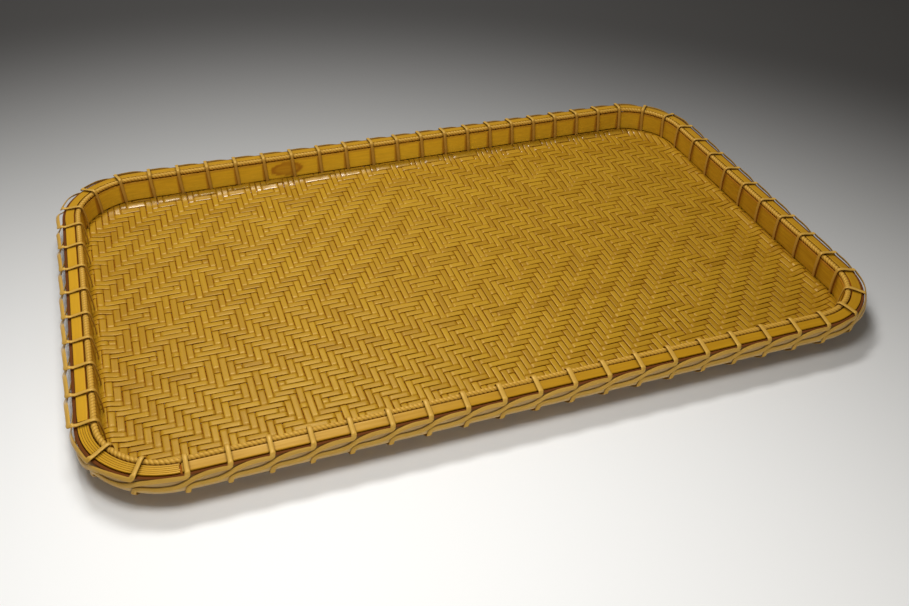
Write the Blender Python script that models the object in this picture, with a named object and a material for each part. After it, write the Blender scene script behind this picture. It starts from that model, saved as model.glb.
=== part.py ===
"""Bamboo serving tray: a twill-woven mat held in a hooped rim that is lashed with flat cane.

Metres, Z up. The origin is on the table, under the middle of the tray. X is the long way.
A place on the rim is given by s, the way round the inner hoop's inner face from the left end
of the near side, and by u, the distance outwards from that face.
"""
import math

import bpy
import bmesh
import numpy as np
from mathutils import Matrix, Vector

# The tray as a whole, over the outer edges of the cap strips
tray_length = 0.4492
tray_width = 0.2807
corner_radius = 0.0452
corner_steps = 8
clearance = 0.0003

# Flat bamboo ribs under the mat; each end lies in the gap after the wrap with that number
rib_thick = 0.0012
rib_width = 0.0100
rib_tuck = 0.0060
rib_rise_run = 0.0300
rib_bend_steps = 4
long_rib_wraps = {"near": (62, 23), "far": (57, 28)}
cross_rib_wraps = {"left": (3, 48), "middle": (9, 42), "right": (14, 37)}

# Woven mat, drawn as a plain sheet with its edge turned up
mat_thick = 0.0014
mat_bend_radius = 0.0009
mat_bend_steps = 3

# Hoops and outer band
inner_hoop_thick = 0.0017
inner_hoop_height = 0.01355
inner_hoop_lift = 0.0004
outer_hoop_thick = 0.0055
outer_hoop_height = 0.0111
outer_hoop_rise = 0.0042
band_thick = 0.0016
band_lift = 0.0006
band_height = 0.0102
edge_round = 0.0003

# Bead cord on the inner hoop
bead_radius = 0.00145
bead_proud = 0.00015
bead_sides = 8

# Cap strips over the outer hoop; each begins just before the wrap with that number
cap_width = 0.0053
cap_thick = 0.0009
cap_fall = 0.0007
cap_setback = 0.0002
cap_joint_gap = 0.0006
cap_joint_lead = 0.0020
cap_start_wraps = {"near": 0, "right": 22, "far": 33, "left": 56, "corner": 64}

# Flat cane lashing
cane_width = 0.0024
cane_thick = 0.0007
cane_lean = 0.0012
cane_start_drop = 0.0008
cane_shoulder_drop = 0.0006
cane_shoulder_raise = 0.0018
cane_leg_height = 0.0040
cane_turn = 0.0032
cane_count = 4
cane_tilt = math.radians(60)
least_tilt_share = 0.1
over_share = 0.5
wraps_passed = 2
slant_points = 6
first_point_share = 0.3
drop_lead_share = 0.25
drop_run_share = 0.45
even_fall_share = 0.15

# How far the slants stand off from the band, on each side and at the corner that follows it
cane_stand_off = 0.0024
low_stand_off = 0.0010
first_stand_share = 0.6
held_out_share = 0.12
side_stand_shares = (0.1, 0.5, 0.1, 1.0)
corner_stand_shares = (0.1, 0.2, 0.4, 0.4)

# Where the wraps are: along each side, and round the corner that follows it
side_wrap_counts = (19, 9, 19, 9)
corner_wrap_counts = (3, 3, 3, 2)
wrap_start_shares = (0.004, 0.065, 0.034, 0.055)
wrap_end_shares = (0.995, 0.978, 0.972, 1.001)
wrap_drift_shares = (0.0, 0.0, -0.016, 0.016)

# Heights, from the table up
cross_rib_low = rib_thick + clearance
mat_low = cross_rib_low + rib_thick + clearance
floor_z = mat_low + mat_thick
inner_hoop_low = floor_z + inner_hoop_lift
inner_hoop_top = inner_hoop_low + inner_hoop_height
outer_hoop_low = floor_z + outer_hoop_rise
outer_hoop_top = outer_hoop_low + outer_hoop_height
band_low = outer_hoop_low + band_lift
band_top = band_low + band_height
bead_z = inner_hoop_top + clearance + bead_radius
cap_slope = cap_fall / cap_width
cap_low = outer_hoop_top + clearance
cap_top = cap_low + cap_thick
cap_edge_z = cap_top - cap_fall

# Distances outwards from the inner hoop's inner face
bead_u = bead_radius - bead_proud
upstand_u = inner_hoop_thick + clearance
upstand_out_u = upstand_u + mat_thick
bend_u = upstand_u - mat_bend_radius
outer_hoop_u = upstand_out_u + clearance
outer_hoop_out_u = outer_hoop_u + outer_hoop_thick
cap_u = outer_hoop_u + cap_setback
cap_out_u = cap_u + cap_width
band_u = outer_hoop_out_u + clearance
band_out_u = band_u + band_thick
rib_u = upstand_out_u + clearance + rib_thick / 2

# Plan of the inner hoop's inner face
hoop_radius = corner_radius - cap_out_u
half_length = tray_length / 2 - cap_out_u
half_width = tray_width / 2 - cap_out_u
half_sizes = (half_length, half_width, half_length, half_width)
side_runs = tuple(2 * (half - hoop_radius) for half in half_sizes)
corner_run = hoop_radius * math.pi / 2
rim_run = sum(side_runs) + 4 * corner_run

# Linear colour and roughness of each kind of bamboo or cane
finishes = {
    "mat_bamboo": ((0.42, 0.29, 0.06), 0.45),
    "hoop_bamboo": ((0.40, 0.23, 0.03), 0.35),
    "band_bamboo": ((0.48, 0.36, 0.16), 0.50),
    "cap_bamboo": ((0.47, 0.29, 0.04), 0.35),
    "bead_cane": ((0.50, 0.36, 0.12), 0.45),
    "lashing_cane": ((0.52, 0.36, 0.11), 0.40),
    "rib_bamboo": ((0.45, 0.34, 0.14), 0.50),
}


def clear_scene():
    """Remove every object of the open file."""
    for thing in list(bpy.data.objects):
        bpy.data.objects.remove(thing, do_unlink=True)


def finish_for(kind):
    """The Principled material of one kind of bamboo or cane."""
    found = bpy.data.materials.get(kind)
    if found:
        return found
    colour, roughness = finishes[kind]
    made = bpy.data.materials.new(kind)
    made.use_nodes = True
    shader = made.node_tree.nodes["Principled BSDF"]
    shader.inputs["Base Color"].default_value = (*colour, 1.0)
    shader.inputs["Roughness"].default_value = roughness
    shader.inputs["Metallic"].default_value = 0.0
    return made


def object_from(bm, name, kind):
    """Close the working mesh into a named object, with its faces pointing out."""
    bmesh.ops.recalc_face_normals(bm, faces=bm.faces)
    mesh = bpy.data.meshes.new(name)
    bm.to_mesh(mesh)
    bm.free()
    mesh.materials.append(finish_for(kind))
    made = bpy.data.objects.new(name, mesh)
    bpy.context.scene.collection.objects.link(made)
    return made


def shade_round(thing):
    """Shade smooth, but keep the edges of the strips crisp."""
    thing.data.shade_smooth()
    thing.data.set_sharp_from_angle(angle=math.radians(40))


def round_edges(thing):
    """Take the sharp edge off a split and planed strip."""
    bevel = thing.modifiers.new("planed_edges", "BEVEL")
    bevel.width = edge_round
    bevel.segments = 1
    bevel.limit_method = "ANGLE"
    bevel.angle_limit = math.radians(40)


def rim_frame(s):
    """Point on the inner hoop's inner face at s, with the outward and forward directions."""
    s = s % rim_run
    side = 0
    while side < 3 and s > side_runs[side] + corner_run:
        s -= side_runs[side] + corner_run
        side += 1
    half_along = half_sizes[side] - hoop_radius
    half_across = half_sizes[side - 1] - hoop_radius
    bend = max(0.0, s - side_runs[side]) / hoop_radius
    along = min(s, side_runs[side]) - half_along
    out = Vector((math.sin(bend), -math.cos(bend), 0.0))
    ahead = Vector((math.cos(bend), math.sin(bend), 0.0))
    place = Vector((along, -half_across, 0.0)) + out * hoop_radius
    turn = Matrix.Rotation(side * math.pi / 2, 3, "Z")
    return turn @ place, turn @ out, turn @ ahead


def rim_point(s, u, z):
    """World place of a point on the rim."""
    place, out, _ = rim_frame(s)
    return place + out * u + Vector((0.0, 0.0, z))


def rim_stations(start, end):
    """Values of s from start to end, with both ends of each straight run and the corner steps."""
    marks = []
    base = 0.0
    for run in side_runs * 2:
        marks.append(base)
        marks.extend(base + run + corner_run * step / corner_steps for step in range(corner_steps))
        base += run + corner_run
    inside = [mark for mark in marks if start + clearance < mark < end - clearance]
    return [start] + inside + [end]


def sweep_section(name, kind, section, start=0.0, end=rim_run, closed_section=True):
    """Carry a section of (u, z) points along the rim, as a ring or as a strip with ends.

    The first edge runs along the rim, and is extruded from one point of the section to the next.
    """
    bm = bmesh.new()
    whole = end - start >= rim_run
    stations = rim_stations(start, end)
    if whole:
        stations.pop()
    mark = bm.verts.layers.int.new("station")
    line = []
    for index, s in enumerate(stations):
        vert = bm.verts.new(rim_point(s, *section[0]))
        vert[mark] = index
        line.append(vert)
    edges = [bm.edges.new(pair) for pair in zip(line, line[1:])]
    if whole:
        edges.append(bm.edges.new((line[-1], line[0])))
    rest = section[1:] + (section[:1] if closed_section else [])
    for u, z in rest:
        grown = bmesh.ops.extrude_edge_only(bm, edges=edges)["geom"]
        edges = [item for item in grown if isinstance(item, bmesh.types.BMEdge)]
        for vert in (item for item in grown if isinstance(item, bmesh.types.BMVert)):
            vert.co = rim_point(stations[vert[mark]], u, z)
    bmesh.ops.remove_doubles(bm, verts=bm.verts, dist=clearance / 30)
    open_edges = [edge for edge in bm.edges if edge.is_boundary]
    bmesh.ops.holes_fill(bm, edges=open_edges, sides=0)
    return object_from(bm, name, kind)


def upright_section(u, thick, low, high):
    """Section of a flat hoop that stands on its edge."""
    return [(u, low), (u + thick, low), (u + thick, high), (u, high)]


def wrap_places():
    """Values of s where the lashing crosses the rim, all the way round."""
    base = 0.0
    firsts = []
    lasts = []
    for side, run in enumerate(side_runs):
        firsts.append(base + run * wrap_start_shares[side])
        lasts.append(base + run * wrap_end_shares[side])
        base += run + corner_run
    places = []
    for side, count in enumerate(side_wrap_counts):
        span = lasts[side] - firsts[side]
        drift = side_runs[side] * wrap_drift_shares[side]
        for index in range(count):
            share = index / (count - 1)
            places.append(firsts[side] + span * share + drift * math.sin(math.pi * share) ** 2)
        following = firsts[side + 1] if side < 3 else firsts[0] + rim_run
        gaps = corner_wrap_counts[side] + 1
        for index in range(1, gaps):
            places.append(lasts[side] + (following - lasts[side]) * index / gaps)
    return places


wraps = wrap_places()


def wrap_place(index):
    """Place of a wrap by number, going on past the ends of the list."""
    lap, number = divmod(index, len(wraps))
    return wraps[number] + lap * rim_run


def strap(bm, points, normals, width, thick):
    """Flat strap along world points; normals say which way its face looks at each point."""
    rings = []
    count = len(points)
    for index, point in enumerate(points):
        before = points[max(index - 1, 0)]
        after = points[min(index + 1, count - 1)]
        into = (point - before).normalized() if index else (after - point).normalized()
        onward = (after - point).normalized() if index < count - 1 else into
        ahead = (into + onward).normalized()
        across = ahead.cross(normals[index]).normalized()
        up = across.cross(ahead)
        mitre = 1 / max(abs(ahead.dot(onward)), 0.7)
        half_across = across * width / 2
        half_up = up * thick / 2 * mitre
        corners = (half_across + half_up, half_up - half_across, -half_across - half_up, half_across - half_up)
        rings.append([bm.verts.new(point + corner) for corner in corners])
    for ring, following in zip(rings, rings[1:]):
        for side in range(4):
            bm.faces.new((ring[side], ring[side - 1], following[side - 1], following[side]))
    bm.faces.new(rings[0])
    bm.faces.new(reversed(rings[-1]))
    return rings


def stand_share(s):
    """How far the lashing stands off at s, as a share: even on a side, blended round a corner."""
    s = s % rim_run
    side = 0
    while side < 3 and s > side_runs[side] + corner_run:
        s -= side_runs[side] + corner_run
        side += 1
    bend = max(0.0, s - side_runs[side]) / corner_run
    blend = math.sin(math.pi * bend)
    beside = side_stand_shares[side if bend < 0.5 else (side + 1) % 4]
    return beside * (1 - blend) + corner_stand_shares[side] * blend


def smooth_step(share):
    """Rise from 0 to 1 with a level start and end."""
    share = min(max(share, 0.0), 1.0)
    return share * share * (3 - 2 * share)


def face_direction(s, angle):
    """Direction in the rim's cross-section at s: 0 looks outwards and a quarter turn looks up."""
    _, out, _ = rim_frame(s)
    return out * math.cos(angle) + Vector((0.0, 0.0, math.sin(angle)))


def cane_loop(index):
    """Points and facing of one turn of cane: up through the mat, over the rim, down a long slant.

    The slant stays high as far as the next wrap, passes below and outside it, and comes in and down
    to a short leg over the band, which turns in under the rim towards the slot where the following
    turn comes up.
    """
    half = cane_thick / 2
    off = clearance + half
    quarter = math.pi / 2
    top = wrap_place(index)
    foot = top - cane_lean
    leg = wrap_place(index - wraps_passed) - cane_lean
    under = mat_low - off
    bead_reach = (bead_radius + off) / math.cos(quarter / 4)
    turn = []
    turn.append((foot, -off, under, math.radians(225)))
    for angle in (2 * quarter, 1.5 * quarter, quarter):
        u = bead_u + bead_reach * math.cos(angle)
        turn.append((top, u, bead_z + bead_reach * math.sin(angle), angle))
    edge_angle = math.radians(65)
    edge_z = cap_edge_z + off + clearance / 2
    turn.append((top, cap_out_u + clearance, edge_z, edge_angle))
    stand = stand_share(top)
    leg_u = band_out_u + off
    slant_u = leg_u + cane_stand_off * stand * first_stand_share
    slant_z = band_top - cane_shoulder_drop + cane_shoulder_raise * stand
    tilt = cane_tilt * (least_tilt_share + (1 - least_tilt_share) * stand)
    over_u = cap_out_u + clearance + (slant_u - cap_out_u) * over_share
    turn.append((top, over_u, (edge_z + slant_z) / 2 + 2.5 * clearance, quarter / 2))
    turn.append((top - cane_start_drop, slant_u, slant_z, tilt))
    leg_top = outer_hoop_low + cane_leg_height
    slant_start = top - 2 * cane_start_drop
    slant_run = slant_start - leg - cane_turn
    passing = (slant_start - wrap_place(index - 1) + cane_start_drop) / slant_run
    leaving = passing + held_out_share
    for step in range(1, slant_points + 1):
        share = (step - 1 + first_point_share) / (slant_points - 1 + first_point_share)
        drop = smooth_step((share - passing + drop_lead_share) / drop_run_share)
        fall = even_fall_share * share + (1 - even_fall_share) * drop
        tuck = smooth_step((share - leaving) / (1 - leaving))
        out = first_stand_share + (1 - first_stand_share) * smooth_step(share / passing)
        u = leg_u + stand * (cane_stand_off * out + low_stand_off * drop) * (1 - tuck)
        z = slant_z + (leg_top - slant_z) * fall
        turn.append((slant_start - slant_run * share, u, z, tilt * (1 - tuck)))
    turn.append((leg + cane_turn / 4, leg_u, leg_top - cane_turn / 3, 0.0))
    turn.append((leg, leg_u, leg_top - cane_turn, 0.0))
    turn.append((leg, leg_u, band_low - half - clearance / 2, -quarter / 2))
    turn.append((leg, outer_hoop_u + clearance, under, -quarter))
    points = [rim_point(s, u, z) for s, u, z, _ in turn]
    normals = [face_direction(s, angle) for s, _, _, angle in turn]
    return points, normals


def least_gap(rings):
    """Smallest distance between parts of the lashing that aren't next to each other, on points."""
    corners = []
    owners = []
    for number, (ring, following) in enumerate(zip(rings, rings[1:])):
        if ring is None or following is None:
            continue
        for vert, other in zip(ring, following):
            for share in (0.0, 0.25, 0.5, 0.75):
                corners.append(vert.lerp(other, share))
                owners.append(number)
    cloud = np.array(corners)
    number = np.array(owners)
    least = math.inf
    for first in range(0, len(cloud), 400):
        block = cloud[first:first + 400]
        apart = np.abs(number[first:first + 400, None] - number[None, :]) > 3
        distance = np.linalg.norm(block[:, None] - cloud[None], axis=2)
        least = min(least, float(distance[apart].min()))
    return least


def make_lashing():
    """Lengths of flat cane that together wind round the whole rim, each one unbroken."""
    total = len(wraps)
    per_cane = math.ceil(total / cane_count)
    order = [(total - 1 - wraps_passed * turn) for turn in range(total)]
    all_rings = []
    for number in range(cane_count):
        bm = bmesh.new()
        points = []
        normals = []
        for index in order[number * per_cane:(number + 1) * per_cane]:
            more_points, more_normals = cane_loop(index)
            points.extend(more_points)
            normals.extend(more_normals)
        rings = strap(bm, points, normals, cane_width, cane_thick)
        all_rings.extend([vert.co.copy() for vert in ring] for ring in rings)
        all_rings.append(None)
        object_from(bm, f"lashing_cane_{number + 1}", "lashing_cane")
    print("least gap of the lashing to itself, mm:", round(least_gap(all_rings) * 1000, 2))


def gap_after(index):
    """Value of s midway between a wrap and the next one."""
    return (wrap_place(index) + wrap_place(index + 1)) / 2


def tucked_end(s):
    """Rib points at one end: from the pocket in the outer hoop down round the mat's bend."""
    bend_centre_z = floor_z + mat_bend_radius
    bend_reach = rib_u - bend_u
    end = [(s, rib_u, outer_hoop_low + rib_tuck, 0.0)]
    for step in range(rib_bend_steps + 1):
        angle = -math.pi / 2 * step / rib_bend_steps
        u = bend_u + bend_reach * math.cos(angle)
        end.append((s, u, bend_centre_z + bend_reach * math.sin(angle), angle))
    points = [rim_point(place, u, z) for place, u, z, _ in end]
    normals = [face_direction(place, angle) for place, _, _, angle in end]
    return points, normals


def make_rib(name, start, end, low):
    """Flat rib under the mat; where it runs lower than the mat it rises to it near each end."""
    points, normals = tucked_end(start)
    far_points, far_normals = tucked_end(end)
    down = Vector((0.0, 0.0, -1.0))
    tied_z = points[-1].z
    drop = tied_z - rib_thick / 2 - low
    ahead = (far_points[-1] - points[-1]).normalized()
    length = (far_points[-1] - points[-1]).length
    if drop > clearance:
        rise = []
        for step in range(1, rib_bend_steps + 1):
            share = step / rib_bend_steps
            fall = drop * (1 - math.cos(math.pi * share)) / 2
            rise.append((rib_rise_run * share, fall))
        for run, fall in rise:
            points.append(points[rib_bend_steps + 1] + ahead * run + down * fall)
            normals.append(down)
        for run, fall in reversed(rise):
            points.append(points[rib_bend_steps + 1] + ahead * (length - run) + down * fall)
            normals.append(down)
    points.extend(reversed(far_points))
    normals.extend(reversed(far_normals))
    bm = bmesh.new()
    strap(bm, points, normals, rib_width, rib_thick)
    return object_from(bm, name, "rib_bamboo")


def rib_ends():
    """Name, start, end and height of each rib, with its ends between wraps of the lashing."""
    ribs = []
    for name, (start, end) in long_rib_wraps.items():
        ribs.append((f"long_rib_{name}", gap_after(start), gap_after(end), 0.0))
    for name, (start, end) in cross_rib_wraps.items():
        ribs.append((f"cross_rib_{name}", gap_after(start), gap_after(end), cross_rib_low))
    return ribs


def add_box(bm, s, u_range, z_range, along):
    """Add a box that lies square to the rim at s."""
    place, out, ahead = rim_frame(s)
    middle = place + out * sum(u_range) / 2 + Vector((0.0, 0.0, sum(z_range) / 2))
    size = (along, u_range[1] - u_range[0], z_range[1] - z_range[0])
    turn = Matrix((ahead, out, Vector((0.0, 0.0, 1.0)))).transposed().to_4x4()
    bmesh.ops.create_cube(bm, size=1.0, matrix=Matrix.Translation(middle) @ turn @ Matrix.Diagonal((*size, 1.0)))


def cut_boxes(thing, bm):
    """Cut a set of boxes out of an object."""
    cutter = object_from(bm, thing.name + "_cutter", "rib_bamboo")
    cutter.hide_render = True
    cutter.display_type = "WIRE"
    cut = thing.modifiers.new("cut", "BOOLEAN")
    cut.operation = "DIFFERENCE"
    cut.solver = "EXACT"
    cut.object = cutter


def make_mat():
    """The mat: a flat sheet whose edge turns up between the hoops, with a slot for each wrap."""
    centre_z = floor_z + mat_bend_radius
    outer_radius = mat_bend_radius + mat_thick
    angles = [-math.pi / 2 * (1 - step / mat_bend_steps) for step in range(mat_bend_steps + 1)]
    section = []
    for angle in angles:
        section.append((bend_u + mat_bend_radius * math.cos(angle), centre_z + mat_bend_radius * math.sin(angle)))
    section.append((upstand_u, inner_hoop_top))
    section.append((upstand_out_u, inner_hoop_top))
    for angle in reversed(angles):
        section.append((bend_u + outer_radius * math.cos(angle), centre_z + outer_radius * math.sin(angle)))
    mat = sweep_section("woven_mat", "mat_bamboo", section, closed_section=False)
    slots = bmesh.new()
    slot_u = (-2 * clearance - cane_thick, 0.0)
    slot_z = (mat_low - mat_thick, floor_z + mat_thick)
    for place in wraps:
        add_box(slots, place - cane_lean, slot_u, slot_z, cane_width + 4 * clearance)
    cut_boxes(mat, slots)
    return mat


def make_outer_hoop(ribs):
    """Thick outer hoop with a sloping top, and a pocket for the turned-up end of each rib."""
    outer_top = outer_hoop_top - cap_slope * outer_hoop_thick
    section = [(outer_hoop_u, outer_hoop_low), (outer_hoop_out_u, outer_hoop_low)]
    section += [(outer_hoop_out_u, outer_top), (outer_hoop_u, outer_hoop_top)]
    hoop = sweep_section("outer_hoop", "hoop_bamboo", section)
    pockets = bmesh.new()
    pocket_u = (outer_hoop_u - mat_thick, rib_u + rib_thick / 2 + clearance)
    pocket_z = (outer_hoop_low - mat_thick, outer_hoop_low + rib_tuck + clearance)
    for _, start, end, _ in ribs:
        add_box(pockets, start, pocket_u, pocket_z, rib_width + 2 * clearance)
        add_box(pockets, end, pocket_u, pocket_z, rib_width + 2 * clearance)
    cut_boxes(hoop, pockets)
    return hoop


def make_inner_hoop():
    """Thin hoop that stands on the mat and holds it out against the outer hoop."""
    section = upright_section(0.0, inner_hoop_thick, inner_hoop_low, inner_hoop_top)
    hoop = sweep_section("inner_hoop", "hoop_bamboo", section)
    round_edges(hoop)
    return hoop


def make_band():
    """Pale ply round the outside of the outer hoop."""
    section = upright_section(band_u, band_thick, band_low, band_top)
    band = sweep_section("outer_band", "band_bamboo", section)
    round_edges(band)
    return band


def make_bead():
    """Round cord that rides on the inner hoop's top edge."""
    turns = [2 * math.pi * side / bead_sides for side in range(bead_sides)]
    section = [(bead_u + bead_radius * math.cos(a), bead_z + bead_radius * math.sin(a)) for a in turns]
    bead = sweep_section("bead_cord", "bead_cane", section)
    shade_round(bead)
    return bead


def make_caps():
    """Sloping strips that cover the outer hoop's top, butted end to end round the rim."""
    names = list(cap_start_wraps)
    starts = [wrap_place(index) - cap_joint_lead for index in cap_start_wraps.values()]
    ends = starts[1:] + [starts[0] + rim_run]
    section = [(cap_u, cap_low), (cap_out_u, cap_low - cap_fall), (cap_out_u, cap_edge_z), (cap_u, cap_top)]
    for name, start, end in zip(names, starts, ends):
        strip = sweep_section(f"cap_{name}", "cap_bamboo", section, start, end - cap_joint_gap)
        round_edges(strip)


clear_scene()
rib_list = rib_ends()
make_mat()
make_inner_hoop()
make_outer_hoop(rib_list)
make_band()
make_bead()
make_caps()
make_lashing()
for rib_name, rib_start, rib_end, rib_low in rib_list:
    make_rib(rib_name, rib_start, rib_end, rib_low)
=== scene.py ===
"""Looks of the bamboo serving tray: woven floor, hoops, wound bead, cap strips and cane lashing.

Metres, Z up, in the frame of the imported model. A place on the rim is given by s, the way round
the inner hoop's inner face from the left end of the near side, u, the distance outwards from
that face, and z, the height above the table.
"""
import math

import bpy
import numpy as np
from mathutils import Matrix, Vector


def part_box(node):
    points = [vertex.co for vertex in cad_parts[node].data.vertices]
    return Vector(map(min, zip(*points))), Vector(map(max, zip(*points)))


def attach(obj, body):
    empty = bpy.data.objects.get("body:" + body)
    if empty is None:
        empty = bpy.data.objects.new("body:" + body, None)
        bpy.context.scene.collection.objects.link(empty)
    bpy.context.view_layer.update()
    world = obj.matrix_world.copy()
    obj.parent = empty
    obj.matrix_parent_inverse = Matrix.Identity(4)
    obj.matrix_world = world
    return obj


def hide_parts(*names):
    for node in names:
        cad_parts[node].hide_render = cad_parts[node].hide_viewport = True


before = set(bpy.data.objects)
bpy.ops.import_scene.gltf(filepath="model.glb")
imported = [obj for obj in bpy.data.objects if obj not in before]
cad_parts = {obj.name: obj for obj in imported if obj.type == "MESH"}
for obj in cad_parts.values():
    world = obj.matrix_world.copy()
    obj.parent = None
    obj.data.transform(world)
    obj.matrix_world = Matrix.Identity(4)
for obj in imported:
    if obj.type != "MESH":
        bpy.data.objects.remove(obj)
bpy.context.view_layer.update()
chance = np.random.default_rng(11)

# Sizes of the pieces that the frame's boxes don't give
clearance = 0.0003
mat_thick = 0.0014
mat_bend_radius = 0.0009
hoop_radius = 0.0360
inner_hoop_thick = 0.0017
outer_hoop_thick = 0.0055
band_thick = 0.0016
cap_width = 0.0053
cap_thick = 0.0009
cap_fall = 0.0007
cap_setback = 0.0002
cap_joint_gap = 0.0006
cap_joint_lead = 0.0020
bead_radius = 0.00145
rib_thick = 0.0012
rib_width = 0.0100
rib_tuck = 0.0060
rib_rise_run = 0.0300

# The lashing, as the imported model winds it
cane_width = 0.0024
cane_thick = 0.0007
cane_lean = 0.0012
cane_start_drop = 0.0008
cane_shoulder_drop = 0.0006
cane_shoulder_raise = 0.0018
cane_leg_height = 0.0040
cane_turn = 0.0032
cane_count = 4
cane_tilt = math.radians(60)
least_tilt_share = 0.1
over_share = 0.5
wraps_passed = 2
slant_points = 6
first_point_share = 0.3
drop_lead_share = 0.25
drop_run_share = 0.45
even_fall_share = 0.15
cane_stand_off = 0.0024
low_stand_off = 0.0010
first_stand_share = 0.6
held_out_share = 0.12
side_stand_shares = (0.1, 0.5, 0.1, 1.0)
corner_stand_shares = (0.1, 0.2, 0.4, 0.4)
side_wrap_counts = (19, 9, 19, 9)
corner_wrap_counts = (3, 3, 3, 2)
wrap_start_shares = (0.004, 0.065, 0.034, 0.055)
wrap_end_shares = (0.995, 0.978, 0.972, 1.001)
wrap_drift_shares = (0.0, 0.0, -0.016, 0.016)
cap_start_wraps = {"near": 0, "right": 22, "far": 33, "left": 56, "corner": 64}
long_rib_wraps = {"near": (62, 23), "far": (57, 28)}
cross_rib_wraps = {"left": (3, 48), "middle": (9, 42), "right": (14, 37)}

# Heights and reaches, read from the frame
half_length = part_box("inner_hoop")[1].x - inner_hoop_thick
half_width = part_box("inner_hoop")[1].y - inner_hoop_thick
mat_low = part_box("woven_mat")[0].z
mat_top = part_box("woven_mat")[1].z
floor_z = mat_low + mat_thick
inner_hoop_low, inner_hoop_top = (corner.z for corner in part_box("inner_hoop"))
outer_hoop_low, outer_hoop_top = (corner.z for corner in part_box("outer_hoop"))
outer_hoop_out_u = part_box("outer_hoop")[1].x - half_length
outer_hoop_u = outer_hoop_out_u - outer_hoop_thick
band_out_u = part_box("outer_band")[1].x - half_length
band_low, band_top = (corner.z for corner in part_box("outer_band"))
band_u = band_out_u - band_thick
cap_low = outer_hoop_top + clearance
cap_edge_z = cap_low + cap_thick - cap_fall
cap_u = outer_hoop_u + cap_setback
cap_out_u = cap_u + cap_width
bead_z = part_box("bead_cord")[1].z - bead_radius
bead_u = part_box("bead_cord")[1].x - half_length - bead_radius

# The mat's middle surface: flat, then a quarter turn, then up between the hoops
mat_middle_z = mat_low + mat_thick / 2
bend_middle_radius = mat_bend_radius + mat_thick / 2
bend_u = inner_hoop_thick + clearance - mat_bend_radius
bend_run = bend_middle_radius * math.pi / 2
mat_reach = bend_u + bend_run + mat_top - mat_middle_z - bend_middle_radius

# Plan of the inner hoop's inner face
half_sizes = np.array([half_length, half_width, half_length, half_width])
side_runs = 2 * (half_sizes - hoop_radius)
corner_run = hoop_radius * math.pi / 2
side_starts = np.concatenate([[0.0], np.cumsum(side_runs + corner_run)])
side_middles = side_starts[:4] + side_runs / 2
rim_run = side_starts[-1]


def rim_frame(s):
    """Places on the face line at s, with outward and forward directions, as arrays.

    Each side is a straight run and then a quarter circle, turned by a right angle from the last.
    """
    s = np.atleast_1d(np.asarray(s, float)) % rim_run
    side = np.clip(np.searchsorted(side_starts, s, side="right") - 1, 0, 3)
    local = s - side_starts[side]
    bend = np.maximum(0.0, local - side_runs[side]) / hoop_radius
    along = np.minimum(local, side_runs[side]) - side_runs[side] / 2
    across = half_sizes[side - 1] - hoop_radius
    out = np.stack([np.sin(bend), -np.cos(bend)], axis=-1)
    place = np.stack([along, -across], axis=-1) + out * hoop_radius
    angle = side * math.pi / 2
    cos, sin = np.cos(angle), np.sin(angle)

    def turned(plan):
        x, y = plan[:, 0], plan[:, 1]
        return np.stack([x * cos - y * sin, x * sin + y * cos, np.zeros(len(x))], axis=-1)

    out = turned(out)
    ahead = np.stack([-out[:, 1], out[:, 0], out[:, 2]], axis=-1)
    return turned(place), out, ahead


def rim_points(s, u, z):
    """World points of rim places."""
    place, out, _ = rim_frame(s)
    rise = np.zeros_like(place)
    rise[:, 2] = z
    return place + out * np.reshape(u, (-1, 1)) + rise


def rim_stations(start, end, corner_steps=20, step=0.0):
    """Values of s from start to end: ends of straight runs, steps round the corners, and a pitch."""
    marks = [np.array([start, end])]
    for lap in (-1, 0, 1):
        for side in range(4):
            base = side_starts[side] + lap * rim_run
            marks.append(np.array([base]))
            marks.append(base + side_runs[side] + corner_run * np.arange(corner_steps) / corner_steps)
    if step:
        marks.append(np.arange(start, end, step))
    marks = np.concatenate(marks)
    return np.unique(np.round(marks[(marks >= start) & (marks <= end)], 7))


def wrap_places():
    """Values of s where the lashing crosses the rim, all the way round."""
    firsts = side_starts[:4] + side_runs * wrap_start_shares
    lasts = side_starts[:4] + side_runs * wrap_end_shares
    places = []
    for side, count in enumerate(side_wrap_counts):
        share = np.arange(count) / (count - 1)
        drift = side_runs[side] * wrap_drift_shares[side] * np.sin(math.pi * share) ** 2
        places.extend(firsts[side] + (lasts[side] - firsts[side]) * share + drift)
        following = firsts[side + 1] if side < 3 else firsts[0] + rim_run
        gaps = corner_wrap_counts[side] + 1
        places.extend(lasts[side] + (following - lasts[side]) * np.arange(1, gaps) / gaps)
    return np.array(places)


wraps = wrap_places()


def wrap_place(index):
    """Place of a wrap by number, going on past the ends of the list."""
    lap, number = divmod(index, len(wraps))
    return wraps[number] + lap * rim_run


def unit(vectors):
    """Each vector at length one."""
    return vectors / np.maximum(np.linalg.norm(vectors, axis=-1, keepdims=True), 1e-12)


def distances(points):
    """How far each point lies along the line through all of them."""
    return np.concatenate([[0.0], np.cumsum(np.linalg.norm(np.diff(points, axis=0), axis=1))])


def path_frame(path, facing):
    """Directions across and up at each point of a path, square to it, with up nearest to facing."""
    ahead = unit(np.gradient(path, axis=0))
    across = unit(np.cross(ahead, facing))
    return across, np.cross(across, ahead)


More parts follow.
